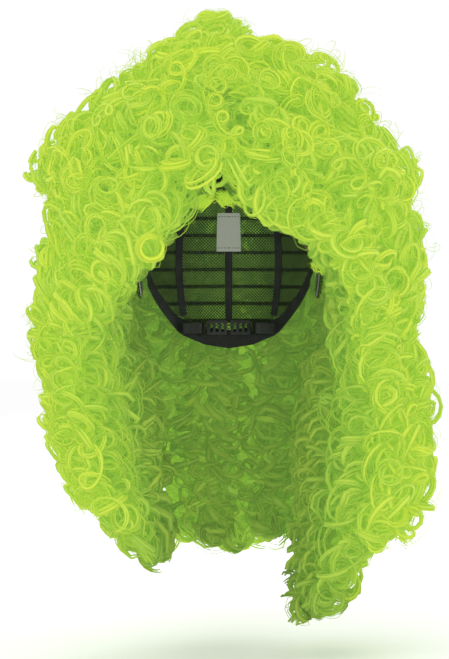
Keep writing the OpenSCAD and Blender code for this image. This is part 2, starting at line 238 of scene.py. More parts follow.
def keep_off_cap(p):
    """Pushes hair out to the cap's surface, so that none of it shows inside."""
    above = p[..., 2] > 0
    parts = (p[..., 0], p[..., 1], np.maximum(p[..., 2], 0))
    level = np.sqrt(sum((part / size) ** 2 for part, size in zip(parts, CLEAR_OF_CAP)))
    behind_face = p[..., 1] > np.where(above, *FACE_OPEN_Y)
    inside = (level < 1) & (p[..., 2] > CAP_LOWEST) & behind_face
    push = np.where(inside, 1 / np.maximum(level, 0.3), 1)
    p[..., 0] *= push
    p[..., 1] *= push
    p[..., 2] *= np.where(above, push, 1)
    return p


# ---------- hair meshes ----------

RIBBON, FIBRE = "ribbon", "fibre"
RIBBON_WIDE, RIBBON_THICK = (2.3, 4.0), (0.3, 0.5)
FIBRE_WIDE = (0.35, 0.6)
VISIBLE = [(RIBBON, 3), (FIBRE, 1)]
RING_RADIUS = (8.5, 12.5)
RING_POINTS = 14  # in each turn of a ring curl
TAIL_KNEE = 12  # how far the tail of a ring curl runs on before it turns down to its root
STEP = 1.2  # of the path parameter, between two points of a guide
LOW_FLYAWAYS_FROM = 160  # above this height the flyaways are half as long


class Hair:
    """Collects strands, then makes one mesh of closed, four-sided flat tubes."""

    def __init__(self):
        self.verts, self.quads, self.colours, self.uvs = [], [], [], []
        self.count, self.columns = 0, 0

    def add(self, points, flat, width, thick, tone, depth):
        """k strands of n points: points and flat (k, n, 3), width, thick and tone (k,), depth (n,)."""
        k, n, _ = points.shape
        t = unit(np.gradient(points, axis=1))
        e1 = unit(flat - (flat * t).sum(-1, keepdims=True) * t)
        e2 = np.cross(t, e1)
        along = np.linspace(0, 1, n)
        taper = np.minimum(1, np.minimum(along * n / 3 + 0.3, (1 - along) * n / 5 + 0.12))[None, :, None]
        wide = e1 * (width[:, None, None] / 2 * taper)
        high = e2 * (thick[:, None, None] / 2 * taper)
        ring = np.stack([points + wide, points + high, points - wide, points - high], 2)
        start = self.count + np.arange(k)[:, None] * n * 4
        i = start + np.arange(n - 1)[None] * 4
        for a, b in ((0, 1), (1, 2), (2, 3), (3, 0)):
            self.quads.append(np.stack([i + a, i + b, i + 4 + b, i + 4 + a], -1).reshape(-1, 4))
        last = start + (n - 1) * 4
        self.quads.append(np.concatenate([start + [[3, 2, 1, 0]], last + [[0, 1, 2, 3]]]))
        colour = np.ones((k, n, 4, 4), np.float32)
        colour[..., 0] = tone[:, None, None]
        colour[..., 1] = np.clip(depth, 0, 1)[None, :, None]
        colour[..., 2] = along[None, :, None]
        colour[..., 3] = np.array([1, 0.5, 0, 0.5])
        uv = np.ones((k, n, 4, 2), np.float32)
        uv[..., 0] = (self.columns + np.arange(k))[:, None, None] + np.array([0.9, 0.5, 0.1, 0.5])
        uv[..., 1] = 0.01 + 0.98 * along[None, :, None]
        self.verts.append(ring.reshape(-1, 3))
        self.colours.append(colour.reshape(-1, 4))
        self.uvs.append(uv.reshape(-1, 2))
        self.count += k * n * 4
        self.columns += k

    def triangles(self):
        """About how many triangles the mesh has so far."""
        return self.count * 2

    def build(self, name, material):
        """The mesh object. Its colour attribute holds tone, depth, place along and place across."""
        verts = (np.concatenate(self.verts) * MM).astype(np.float32)
        quads = np.concatenate(self.quads).astype(np.int32)
        uv = np.concatenate(self.uvs)
        uv[:, 0] /= self.columns
        mesh = bpy.data.meshes.new(name)
        mesh.vertices.add(len(verts))
        mesh.vertices.foreach_set("co", verts.ravel())
        mesh.loops.add(quads.size)
        mesh.loops.foreach_set("vertex_index", quads.ravel())
        mesh.polygons.add(len(quads))
        mesh.polygons.foreach_set("loop_start", np.arange(0, quads.size, 4, dtype=np.int32))
        mesh.polygons.foreach_set("use_smooth", np.ones(len(quads), bool))
        mesh.update(calc_edges=True)
        colour = mesh.color_attributes.new("hair", "FLOAT_COLOR", "POINT")
        colour.data.foreach_set("color", np.concatenate(self.colours).ravel())
        layer = mesh.uv_layers.new(name="OFBake")
        layer.data.foreach_set("uv", uv[quads.ravel()].ravel())
        mesh.materials.append(material)
        return add_to_scene(name, mesh)


def add_to_scene(name, data):
    """A new object of this mesh, light or camera."""
    obj = bpy.data.objects.new(name, data)
    bpy.context.scene.collection.objects.link(obj)
    return obj


def wander(rng, s, size, waves=3):
    """A smooth random drift along a path of arc length s, up to about size."""
    out = np.zeros((len(s), 3))
    for _ in range(waves):
        length = rng.uniform(38, 110)
        out += rng.normal(0, 1, 3) * np.sin(2 * math.pi * (s / length + rng.random()))[:, None]
    return out * size / math.sqrt(waves) * smooth(s / 50)[:, None]


def sway(rng, s, shortest, longest):
    """A wave along a path of arc length s, -1 to 1, with a random length and start."""
    return np.sin(s / rng.uniform(shortest, longest) + rng.uniform(0, 6))


def clump(rng, into, centre, radial, axial, kinds, tone, depth, loose=1.2, thick=1.0, turned=0.3):
    """Hair that keeps to one path: flat ribbons side by side, and loose fibres round them."""
    n = len(centre)
    s = np.linspace(0, n / 9, n)
    for kind, k in kinds:
        ribbon = kind == RIBBON
        stray = loose if ribbon else loose * 2.0
        a = rng.normal(0, stray, (k, 1, 1))
        r = rng.normal(0, stray, (k, 1, 1))
        points = centre[None] + a * axial[None] + r * radial[None]
        for wave in (1.0, 2.7):
            size = rng.normal(0, 0.45 if ribbon else 0.9, (k, 1, 3))
            points = points + size * np.sin(s[None, :, None] * wave + rng.uniform(0, 6.3, (k, 1, 1)))
        twist = rng.normal(turned, 0.5, (k, 1, 1))
        twist = twist + 0.5 * np.sin(s / 2.5 + rng.uniform(0, 6))[None, :, None]
        flat = np.cos(twist) * axial[None] + np.sin(twist) * radial[None]
        wide = rng.uniform(*(RIBBON_WIDE if ribbon else FIBRE_WIDE), k)
        high = rng.uniform(*RIBBON_THICK, k) if ribbon else wide
        tones = np.clip(tone + rng.normal(0, 0.08, k), 0, 1)
        into.add(keep_off_cap(points), flat, wide * thick, high * thick, tones, depth)


def lock(rng, into, root, end, w_to, curl, pitch, tilt, kinds, tone, drift, rise=8.0, thick=1.0, per_turn=12):
    """One curled lock from the cap at root (azimuth, height) down to end, carried out to layer w_to."""
    u0, h0 = root
    h = np.linspace(h0, end, max(8, int((h0 - end) / STEP)))
    w = w_to * (1 - np.exp(-(h0 - h) / rise)) + 0.03
    u = u0 + 0 * h
    guide = place(u, h, w)
    normal = facing(u0, h, unit(place(u, h, w + 0.04) - guide))
    s = running_total(np.linalg.norm(np.diff(guide, axis=0), axis=1))
    at = np.linspace(0, s[-1], max(10, int(s[-1] / pitch * per_turn)))
    g = resample(guide, s, at) + wander(rng, at, drift)
    nrm = unit(resample(normal, s, at))
    t = unit(np.gradient(g, axis=0))
    b = unit(np.cross(t, nrm))
    nrm = np.cross(b, t)
    lean = np.radians(tilt + 20 * sway(rng, at, 20, 45))[:, None]
    turned = np.radians(25 * sway(rng, at, 25, 50))[:, None]
    out = np.cos(turned) * nrm + np.sin(turned) * b
    axis = np.cos(lean) * t + np.sin(lean) * out
    b = unit(np.cross(axis, np.cos(lean) * out - np.sin(lean) * t))
    e2 = np.cross(axis, b)
    turn = 2 * math.pi * (at / pitch + 0.3 * sway(rng, at, 18, 40))
    turn = (turn * rng.choice([-1, 1]) + rng.uniform(0, 6.28))[:, None]
    r = curl * smooth(at / 45 + 0.25) * (1 + 0.18 * sway(rng, at, 15, 30))
    radial = np.cos(turn) * b + np.sin(turn) * e2
    clump(rng, into, g + r[:, None] * radial, radial, axis, kinds, tone, np.interp(at, s, w), thick=thick)


def ring_curl(rng, into, u0, h, w, radius, turns, kinds, tone, lean=35):
    """A lock that surfaces and ends in a ring lying on the outside of the hair."""
    c, out, down = local_frame(u0, h, w)
    out = facing(u0, h, out)
    axis = unit(out + math.tan(math.radians(lean)) * rng.uniform(-1, 1, 3))
    e1 = unit(np.cross(axis, down))
    e2 = np.cross(axis, e1)
    n = int(turns * RING_POINTS)
    a = np.linspace(0, turns * 2 * math.pi, n) * rng.choice([-1, 1]) + rng.uniform(0, 6.28)
    spiral = radius * (1.08 - 0.22 * np.linspace(0, 1, n))
    radial = np.cos(a)[:, None] * e1 + np.sin(a)[:, None] * e2
    ring = c + spiral[:, None] * radial + axis * np.linspace(-2.0, 3.0, n)[:, None]
    root = c - out * rng.uniform(14, 26) - down * rng.uniform(0, 12)
    knee = ring[0] + unit(ring[0] - ring[1]) * TAIL_KNEE
    f = np.linspace(0, 1, 7)[:-1, None]
    tail = (1 - f) ** 2 * root + 2 * f * (1 - f) * knee + f * f * ring[0]
    path = np.concatenate([tail, ring])
    # the depth falls along the tail towards its root, which darkens it with the hair's painted shade and dims
    # its painted glow
    depth = np.clip(w - 0.25 * (1 - np.linspace(0, 1, len(path)) * 2.5).clip(0), 0, 1)
    axial = np.broadcast_to(axis, path.shape)
    clump(rng, into, path, unit(path - c), axial, kinds, tone, depth, loose=1.1, turned=1.1)


def flyaway(rng, into, u0, h, w, tone):
    """Two single fibres that stand out of the outline."""
    c, out, _ = local_frame(u0, h, w)
    axis = unit(rng.normal(0, 1, 3))
    e1 = unit(np.cross(axis, out))
    e2 = np.cross(axis, e1)
    n = 15
    f = np.linspace(0, 1, n)[:, None]
    a = f * rng.uniform(3.5, 8.5) + rng.uniform(0, 6.28)
    radius = rng.uniform(4, 9)
    reach = rng.uniform(4, 15) * (0.5 if c[2] > LOW_FLYAWAYS_FROM else 1.0)
    spokes = np.cos(a) * e1 + np.sin(a) * e2
    path = c + out * (f * reach) + radius * spokes * smooth(f * 3)
    axial = np.broadcast_to(axis, path.shape)
    clump(rng, into, path, spokes, axial, [(FIBRE, 2)], tone, np.full(n, 1.0), thick=0.7)


# ---------- materials ----------

STREAK_SCALE, STREAK_CONTRAST = (5.0, 7.0, 90.0), 0.55  # across and along a ribbon, and from one to the next
GLOW_THROUGH = 0.42  # share of the light that passes through the hair
CAP_RADIUS = 0.085  # mean radius of the cap, in m, which turns an azimuth into a distance along the cloth
LABEL_HEM, LABEL_STITCH = 0.003, 0.0024  # from the label's folded end to its stitches, and their pitch, in m
LABEL_THREAD, SATIN_PITCH = 0.0004, 0.0005  # half the width of its stitches, and the pitch of its weave
BUNDLE_PITCH, STITCH_ROW_PITCH = 0.0016, 0.0013  # bundles of hair in a weft, and the stitches across them
NET_CELL, NET_THREAD = 0.0026, 0.0007  # in m
LACE_CELL, LACE_THREAD = 0.0012, 0.00032
NET_DARK, NET_LIGHT = (0.006, 0.006, 0.006), (0.05, 0.05, 0.048)
LACE_DARK, LACE_LIGHT = (0.05, 0.035, 0.025), (0.22, 0.15, 0.10)


class Look:
    """A new material, with short ways to add its nodes. A value is a node's output or a plain constant."""

    def __init__(self, name):
        self.made = bpy.data.materials.new(name)
        self.made.use_nodes = True
        self.nodes = self.made.node_tree.nodes
        self.bsdf = self.nodes["Principled BSDF"]

    def put(self, value, socket):
        """Gives a socket its value."""
        if isinstance(value, bpy.types.NodeSocket):
            self.made.node_tree.links.new(value, socket)
        else:
            socket.default_value = value

    def math(self, operation, a, b=0.0):
        """The result of one arithmetic node."""
        node = self.nodes.new("ShaderNodeMath")
        node.operation = operation
        self.put(a, node.inputs[0])
        self.put(b, node.inputs[1])
        return node.outputs[0]

    def ramp(self, factor, stops):
        """Colours by factor, from (place, colour) stops."""
        node = self.nodes.new("ShaderNodeValToRGB")
        while len(node.color_ramp.elements) < len(stops):
            node.color_ramp.elements.new(0.5)
        for element, (at, colour) in zip(node.color_ramp.elements, stops):
            element.position = at
            element.color = (*colour, 1)
        self.put(factor, node.inputs["Fac"])
        return node.outputs["Color"]

    def multiply(self, a, b):
        """One colour times another."""
        node = self.nodes.new("ShaderNodeMix")
        node.data_type = "RGBA"
        node.blend_type = "MULTIPLY"
        node.inputs["Factor"].default_value = 1.0
        self.put(a, node.inputs["A"])
        self.put(b, node.inputs["B"])
        return node.outputs["Result"]

    def noise(self, scale, detail=2.0, roughness=0.5, vector=None):
        """Soft random patches, 0 to 1."""
        node = self.nodes.new("ShaderNodeTexNoise")
        node.inputs["Scale"].default_value = scale
        node.inputs["Detail"].default_value = detail
        node.inputs["Roughness"].default_value = roughness
        if vector is not None:
            self.put(vector, node.inputs["Vector"])
        return node.outputs["Fac"]

    def position(self):
        """Place on the piece, in metres."""
        return self.nodes.new("ShaderNodeTexCoord").outputs["Object"]

    def surface(self, colour, roughness):
        """Sets the shader's colour and roughness."""
        self.put(colour, self.bsdf.inputs["Base Color"])
        self.bsdf.inputs["Roughness"].default_value = roughness

    def bump(self, height, strength, distance):
        """Raises the surface where height is large."""
        node = self.nodes.new("ShaderNodeBump")
        node.inputs["Strength"].default_value = strength
        node.inputs["Distance"].default_value = distance
        self.put(height, node.inputs["Height"])
        self.put(node.outputs[0], self.bsdf.inputs["Normal"])

    def mix_shaders(self, share, first, second):
        """Ends the material in a mix of two shaders: share is how much of the second one shows."""
        node = self.nodes.new("ShaderNodeMixShader")
        for value, socket in zip((share, first, second), node.inputs):
            self.put(value, socket)
        self.put(node.outputs[0], self.nodes["Material Output"].inputs["Surface"])


def hair_material():
    """Glossy synthetic fibre: streaks of tone along each ribbon, painted shade that makes it darker and bluer
    towards the cap, and a painted glow that lifts its shadows.
    """
    look = Look("green_hair")
    attribute = look.nodes.new("ShaderNodeAttribute")
    attribute.attribute_name = "hair"
    parts = look.nodes.new("ShaderNodeSeparateColor")
    look.put(attribute.outputs["Color"], parts.inputs[0])
    tone, depth, along = (parts.outputs[name] for name in ("Red", "Green", "Blue"))
    across = attribute.outputs["Alpha"]
    where = look.nodes.new("ShaderNodeCombineXYZ")
    for value, scale, socket in zip((across, along, tone), STREAK_SCALE, where.inputs):
        look.put(look.math("MULTIPLY", value, scale), socket)
    streak = look.noise(1.6, 3, 0.6, where.outputs[0])
    shift = look.math("MULTIPLY", look.math("SUBTRACT", streak, 0.5), STREAK_CONTRAST)
    colours = look.ramp(look.math("ADD", tone, shift), [
        (0.0, (0.46, 0.54, 0.090)),
        (0.35, (0.55, 0.58, 0.080)),
        (0.65, (0.61, 0.60, 0.070)),
        (1.0, (0.68, 0.63, 0.055)),
    ])
    # painted shade: the colour is darker and bluer where the hair lies deeper, towards the cap
    painted_shade = look.ramp(depth, [
        (0.0, (0.45, 0.58, 0.60)),
        (0.4, (0.78, 0.90, 0.95)),
        (0.85, (1, 1, 1)),
    ])
    # painted glow: emission that lifts the hair's shadows as if light scattered between the fibres, dimmer
    # towards the cap as painted shade
    painted_glow = look.ramp(depth, [
        (0.0, (0.08, 0.17, 0.035)),
        (0.4, (0.18, 0.36, 0.060)),
        (0.85, (0.23, 0.46, 0.065)),
    ])
    colour = look.multiply(colours, painted_shade)
    look.surface(colour, 0.5)
    look.put(painted_glow, look.bsdf.inputs["Emission Color"])
    look.bsdf.inputs["Emission Strength"].default_value = 1.0
    look.bsdf.inputs["Specular IOR Level"].default_value = 0.35
    look.bsdf.inputs["Specular Tint"].default_value = (1.0, 0.95, 0.2, 1)
    look.bump(streak, 0.35, 0.0004)
    through = look.nodes.new("ShaderNodeBsdfTranslucent")
    look.put(colour, through.inputs["Color"])
    look.mix_shaders(GLOW_THROUGH, look.bsdf.outputs[0], through.outputs[0])
    return look.made


def cloth_material(name, dark, light, scale, rough=0.8):
    """Woven cloth: two crossed wave patterns with a little noise."""
    look = Look(name)
    position = look.position()
    noise = look.noise(scale * 0.35, 4, vector=position)
    waves = []
    for axis in ("X", "Z"):
        wave = look.nodes.new("ShaderNodeTexWave")
        wave.bands_direction = axis
        wave.inputs["Scale"].default_value = scale
        wave.inputs["Distortion"].default_value = 0.6
        look.put(position, wave.inputs["Vector"])
        waves.append(wave.outputs["Fac"])
    both = look.math("ADD", look.math("MULTIPLY", *waves), noise)
    look.surface(look.ramp(both, [(0.25, dark), (1.0, light)]), rough)
    look.bump(both, 0.3, 0.0004)
    return look.made


def on_cap(look, dome=False):
    """Distances along the cloth, in metres: round the cap and up it, or across the top of the dome."""
    split = look.nodes.new("ShaderNodeSeparateXYZ")
    look.put(look.position(), split.inputs[0])
    x, y, z = split.outputs
    if dome:
        return x, y
    around = look.math("ARCTAN2", x, look.math("MULTIPLY", y, -1.0))
    return look.math("MULTIPLY", around, CAP_RADIUS), z


def stripes(look, distance, pitch):
    """1 on the middle of each stripe and 0 half way between."""
    wave = look.math("SINE", look.math("MULTIPLY", distance, math.pi / pitch))
    return look.math("SUBTRACT", 1.0, look.math("ABSOLUTE", wave))


def net_material(name, dark, light, cell, thread, dome=False):
    """Knitted net: crossed threads, and open air between them."""
    look = Look(name)
    u, v = on_cap(look, dome)
    one = stripes(look, look.math("ADD", u, v), cell)
    other = stripes(look, look.math("SUBTRACT", u, v), cell)
    both = look.math("MAXIMUM", one, other)
    solid = look.math("GREATER_THAN", both, 1 - math.sin(math.pi * thread / (2 * cell)))
    look.surface(look.ramp(both, [(0.4, dark), (1.0, light)]), 0.7)
    look.bump(both, 0.4, 0.0003)
    air = look.nodes.new("ShaderNodeBsdfTransparent")
    look.mix_shaders(solid, air.outputs[0], look.bsdf.outputs[0])
    return look.made


def weft_material(name):
    """The sewn head of a weft: upright bundles of the hair's own colour under rows of dark lock stitch, with
    painted shade in the grooves between the bundles.
    """
    look = Look(name)
    u, v = on_cap(look)
    bundles = stripes(look, u, BUNDLE_PITCH)
    stitch = stripes(look, v, STITCH_ROW_PITCH)
    height = look.math("MULTIPLY", bundles, look.math("SUBTRACT", 1.15, stitch))
    varied = look.math("MULTIPLY", height, look.math("ADD", look.noise(900), 0.5))
    # dark where the relief is low: the dark stitch thread is its real colour, the darkening in the grooves
    # between bundles is painted shade
    tone = look.ramp(varied, [
        (0.0, (0.03, 0.08, 0.015)),
        (0.35, (0.20, 0.42, 0.04)),
        (0.8, (0.42, 0.66, 0.06)),
    ])
    look.surface(tone, 0.6)
    look.bump(height, 0.6, 0.0006)
    return look.made


def label_material(name):
    """Satin ribbon with a fine weave and a line of stitches inside each folded end."""
    look = Look(name)
    u, v = on_cap(look)
    low, high = (corner[2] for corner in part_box("size_label"))
    from_middle = look.math("ABSOLUTE", look.math("SUBTRACT", v, (low + high) / 2))
    line = look.math("SUBTRACT", from_middle, (high - low) / 2 - LABEL_HEM)
    near = look.math("LESS_THAN", look.math("ABSOLUTE", line), LABEL_THREAD)
    dashes = look.math("GREATER_THAN", stripes(look, u, LABEL_STITCH), 0.4)
    stitch = look.math("MULTIPLY", near, dashes)
    satin = stripes(look, u, SATIN_PITCH)
    tone = look.ramp(satin, [(0.0, (0.78, 0.77, 0.72)), (1.0, (0.90, 0.89, 0.85))])
    thread = look.ramp(stitch, [(0.0, (1, 1, 1)), (1.0, (0.25, 0.25, 0.24))])
    look.surface(look.multiply(tone, thread), 0.4)
    look.bump(look.math("SUBTRACT", satin, stitch), 0.3, 0.0002)
    return look.made


def metal_material(name, dark, light, rough):
    """Drawn wire or pressed sheet: fine scratches over a slightly uneven tone."""
    look = Look(name)
    scratch = look.noise(1500, 5, vector=look.position())
    look.surface(look.ramp(scratch, [(0.3, dark), (0.7, light)]), rough)
    look.bsdf.inputs["Metallic"].default_value = 1.0
    look.bump(scratch, 0.15, 0.0001)
    return look.made


HAIR = hair_material()
CROWN_NET = net_material("crown_net", NET_DARK, NET_LIGHT, NET_CELL, NET_THREAD, dome=True)
FINISH = {
    "stretch_net": net_material("stretch_net", NET_DARK, NET_LIGHT, NET_CELL, NET_THREAD),
    "front_lace": net_material("front_lace", LACE_DARK, LACE_LIGHT, LACE_CELL, LACE_THREAD),
    "velvet_tape": cloth_material("velvet_tape", (0.10, 0.06, 0.035), (0.28, 0.18, 0.12), 300, 0.95),
    "black_elastic": cloth_material("black_elastic", (0.008, 0.008, 0.009), (0.06, 0.06, 0.062), 260),
    "weft_tape": weft_material("weft_tape"),
    "label_tape": label_material("label_tape"),
    "hook_metal": metal_material("hook_metal", (0.02, 0.02, 0.02), (0.07, 0.07, 0.07), 0.35),
    "stay_metal": metal_material("stay_metal", (0.45, 0.46, 0.48), (0.7, 0.71, 0.73), 0.3),
}


def finish_cad_nodes():
    """Gives every CAD node that shows the finish of its material slot."""
    slots = {part["node"]: part["material_slot"] for part in frame["record"]["subparts"]}
    for node, obj in frame["nodes"].items():
        if slots[node] in FINISH:
            obj.data.materials.clear()
            obj.data.materials.append(CROWN_NET if node == "crown_net" else FINISH[slots[node]])


# ---------- the hair, region by region ----------

SHARE = 1.0
PIECE_TRIANGLES = 180_000
FALL_FROM = 10.0  # from the parting to the first locks of the falls, in degrees
FRONT_FACE = 40.0  # the falls' locks nearer to the parting than this make the side that faces forward
BACK_FROM = 127.0  # azimuth at the cap where the back fall's locks start
SEAM_FROM, SEAM_TO = 112, 139  # extra locks cover the seam between a side fall and the back fall
OUTER = {"tilt": (45, 80), "kinds": VISIBLE, "thick": 1.0, "per_turn": 12}
INNER = {"tilt": (25, 70), "kinds": [(RIBBON, 2)], "thick": 1.5, "per_turn": 7}
SURFACE = 0.9  # layer where a lock's end is judged for the curls on the outside
UNDER_ROOTS, UNDER_STEP = (89, 62, 36, 12), 4.5  # heights of the waved hair's roots, and their spacing round
HAIRLINE_TUFTS, TUFT_POINTS = 110, 10


class Region:
    """Hair that moves alike, cut into pieces of a handy size."""

    def __init__(self, name, seed):
        self.name, self.rng, self.made = name, np.random.default_rng(seed), [Hair()]

    def pot(self):
        """The piece that is being filled."""
        if self.made[-1].triangles() > PIECE_TRIANGLES:
            self.made.append(Hair())
        return self.made[-1]

    def finish(self, nodes, bodies):
        """Builds the pieces, which stand for the CAD nodes and move with one body, or are only fixed in place
        when given two.
        """
        pieces = [hair.build(f"{self.name}_{i + 1}", HAIR) for i, hair in enumerate(self.made)]
        for obj in pieces:
            if len(bodies) == 1:
                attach(obj, bodies[0])
            else:
                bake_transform(obj)
        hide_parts(*nodes)


def between(sign, a, b):
    """A range of azimuths from a to b degrees, on the side of this sign."""
    return sorted((sign * a, sign * b))


def fall_locks(region, u_range, count, outer):
    """Long locks that end in the falls. The outer ones show."""
    rng = region.rng
    style = OUTER if outer else INNER
    for _ in range(int(count * SHARE)):
        u0 = rng.uniform(*u_range)
        w = rng.uniform(0.6, 1.0) ** 0.8 if outer else rng.uniform(0.05, 0.75)
        if outer and abs(from_parting(u0)) < FRONT_FACE:
            w = rng.uniform(0.08, 1.0)
        root = rng.uniform(-14, 12) + 62 * w ** 1.3 * rng.uniform(0.3, 1.0)
        if abs(u0) < 90:
            root = max(root, -2)
        end = end_param(u0, w)
        if rng.random() < 0.35:
            end *= rng.uniform(0.45, 0.9)
        end = min(end * rng.uniform(0.95, 1.0), root - 18)
        curl, pitch, tilt = rng.uniform(8.0, 11.5), rng.uniform(12, 19), rng.uniform(*style["tilt"])
        lock(
            rng, region.pot(), (u0, root), end, w, curl, pitch, tilt, style["kinds"], rng.beta(5, 4.6),
            drift=5.0, thick=style["thick"], per_turn=style["per_turn"],
        )


def crown_locks(region, u_range, count):
    """Shorter locks over the top and round the fringe."""
    rng = region.rng
    for _ in range(int(count * SHARE)):
        u0 = rng.uniform(*u_range)
        w = rng.uniform(0.25, 1.0) ** 0.6
        root = rng.uniform(34, 92)
        u0 += rng.normal(0, 6)
        end = max(0, root - rng.uniform(22, 55))
        curl, pitch, tilt = rng.uniform(6.5, 10.0), rng.uniform(9, 15), rng.uniform(40, 85)
        lock(
            rng, region.pot(), (u0, root), end, w, curl, pitch, tilt, VISIBLE, rng.beta(5.0, 3.6),
            drift=5.5, rise=5.0, thick=0.9,
        )


def under_hair(region, u_range):
    """Flat waved hair close over the cap, which hides the net between the rooted curls."""
    rng = region.rng
    for u0 in np.arange(u_range[0], u_range[1], UNDER_STEP):
        for height in UNDER_ROOTS:
            root = (u0 + rng.uniform(-2, 2), height)
            end = height - 33 if height > UNDER_ROOTS[-1] else -24
            w, pitch = rng.uniform(0.06, 0.3), rng.uniform(15, 22)
            lock(
                rng, region.pot(), root, end, w, 3.0, pitch, 60, [(RIBBON, 3)], rng.beta(3, 4),
                drift=2.0, thick=2.0, per_turn=6,
            )


def hairline(region, u_range):
    """Short pale hairs along the front edge of the lace."""
    rng = region.rng
    for _ in range(HAIRLINE_TUFTS):
        u = math.radians(rng.uniform(*u_range))
        z = np.interp(abs(math.degrees(u)), RIM_U, RIM_Z) + rng.uniform(-1, 5)
        level = math.sqrt(1 - (z / LACE[2]) ** 2)
        root = np.array([LACE[0] * level * math.sin(u), -LACE[1] * level * math.cos(u), z])
        out = unit(np.array([math.sin(u), -math.cos(u) * 1.2, 0.25]))
        f = np.linspace(0, 1, TUFT_POINTS)[:, None]
        side = np.array([math.cos(u), math.sin(u), 0]) * rng.uniform(5, 16) * np.sign(u + 0.15)
        path = root + out * (rng.uniform(1.5, 4.5) * np.sin(f * 3.1)) + side * f
        path[:, 2] -= rng.uniform(2, 9) * np.sin(f[:, 0] * rng.uniform(1.6, 2.6))
        spokes, axial = np.broadcast_to(out, path.shape), np.broadcast_to(unit(side), path.shape)
        tone, depth = rng.uniform(0.85, 1.0), np.full(TUFT_POINTS, 1.0)
        clump(rng, region.pot(), path, spokes, axial, [(FIBRE, 7)], tone, depth, thick=1.3)


def surface_curls(region, u_range, h_range, curls, flyaways):
    """Ring curls and loose fibres on the outside."""
    rng = region.rng
    for _ in range(int(curls * SHARE)):
        u0, h = rng.uniform(*u_range), rng.uniform(*h_range)
        if h < end_param(u0, SURFACE) + 3:
            continue
        front = abs(from_parting(u0)) < FRONT_FACE and h < -12
        w, radius = rng.uniform(0.1 if front else 0.86, 1.02), rng.uniform(*RING_RADIUS)
        ring_curl(rng, region.pot(), u0, h, w, radius, rng.uniform(1.2, 2.1), VISIBLE, rng.beta(5.0, 3.0))
    for _ in range(int(flyaways * SHARE)):
        u0, h = rng.uniform(*u_range), rng.uniform(*h_range)
        over_face = abs(u0) < 30 and h < 25
        if h > end_param(u0, SURFACE) and not over_face:
            flyaway(rng, region.pot(), u0, h, rng.uniform(0.9, 1.02), rng.beta(2.4, 2.0))


def tip_curls(region, u_range, count):
    """Rings at the bottom of the falls, through their whole thickness."""
    rng = region.rng
    kinds = [(RIBBON, 3), (FIBRE, 2)]
    for _ in range(int(count * SHARE)):
        u0, w = rng.uniform(*u_range), rng.uniform(0.1, 0.95)
        h = end_param(u0, w) + rng.uniform(1, 9)
        radius, turns = rng.uniform(*RING_RADIUS), rng.uniform(1.4, 2.4)
        ring_curl(rng, region.pot(), u0, h, w, radius, turns, kinds, rng.beta(4.0, 3.6), lean=50)


def grow_side_fall(side, sign, seed, outer_locks):
    """The long curls beside the neck."""
    fall = Region(f"{side}_fall_curls", seed)
    front = PART_U + sign * FALL_FROM
    span = sorted((front, sign * BACK_FROM))
    fall_locks(fall, span, 60, outer=False)
    fall_locks(fall, span, outer_locks, outer=True)
    fall_locks(fall, sorted((front, front + sign * 24)), 15, outer=True)
    fall_locks(fall, between(sign, SEAM_FROM, BACK_FROM), 10, outer=True)
    fall_locks(fall, between(sign, SEAM_FROM + 2, BACK_FROM), 14, outer=False)
    surface_curls(fall, span, (-100, -8), curls=190, flyaways=330)
    tip_curls(fall, span, 56)
    fall.finish([f"{side}_fall"], ["cap", f"{side}_hair"])


def grow_crown(side, sign, seed):
    """All the hair of one half of the head."""
    top = Region(f"{side}_crown_curls", seed)
    span = sorted((PART_U + sign * 0.5, sign * 180))
    under_hair(top, span)
    hairline(top, between(sign, 1, 66))
    crown_locks(top, span, 90)
    surface_curls(top, span, (-6, 88), curls=180, flyaways=380)
    masses = ("crown_hair_front", "crown_hair_back", "fringe", "temple_hair", "ear_hair", "back_hair")
    top.finish([f"{mass}_{side}" for mass in masses], ["cap"])


def grow_back_fall(seed):
    """The long curls behind the neck."""
    back = Region("back_fall_curls", seed)
    fall_locks(back, (168, 192), 10, outer=False)
    for _, sign in SIDES:
        span = between(sign, BACK_FROM, 180)
        fall_locks(back, span, 40, outer=False)
        fall_locks(back, span, 29, outer=True)
        fall_locks(back, between(sign, BACK_FROM, SEAM_TO), 9, outer=True)
        surface_curls(back, span, (-86, -6), curls=68, flyaways=80)
        tip_curls(back, span, 18)
    back.finish(["back_fall", "nape_hair"], ["cap", "back_hair"])


# ---------- black elastic: the adjuster straps and the ear tab bindings ---

STRAP_AXIS_Y, STRAP_Z = 28.0, -55.0  # the axis the adjusters turn about, and the strap's middle height
STRAP_WIDE, STRAP_THICK = 9.0, 0.8
STRAP_RADIUS = 42.6  # from the axis to the middle of the strap's thickness
RIDGE_PITCH, RIB_PITCH = 1.2, 1.5  # the cross ridges, and the rubber threads that run along
# centre line, as degrees from the back of the head and radius: flat, round the hook's bar, back over itself
STRAP_LINE = [
    (60, STRAP_RADIUS), (36.6, STRAP_RADIUS), (34.2, 41.5), (32.8, 41.4),
    (31.4, 42.5), (32.8, 43.55), (34.6, 43.5), (41, 43.45),
]
LINE_POINTS, LINE_ROUNDS = 170, 6  # points of the centre line, and how often its corners are smoothed
THREAD = 0.17  # radius of the sewing thread
TACK_ROWS, TACK_HALF, TACK_SWING = 27, 3.9, 0.8  # passes of a bar tack, half its height, swing in degrees
TACK_SIDES = 6
TACKS = [(39.8, 44.0), (58.4, 42.1)]  # where the strap is sewn: degrees from the back, and radius
EAR_TAB_U, EAR_TAB_Z = (65.8, 84.2), -4.2  # azimuths of the ear tab's sides, and the height where it bends
BINDING_OUT, BINDING_HALF, BINDING_TALL = 0.5, 0.85, 2.0  # distance from the cap, and half sizes of the tape


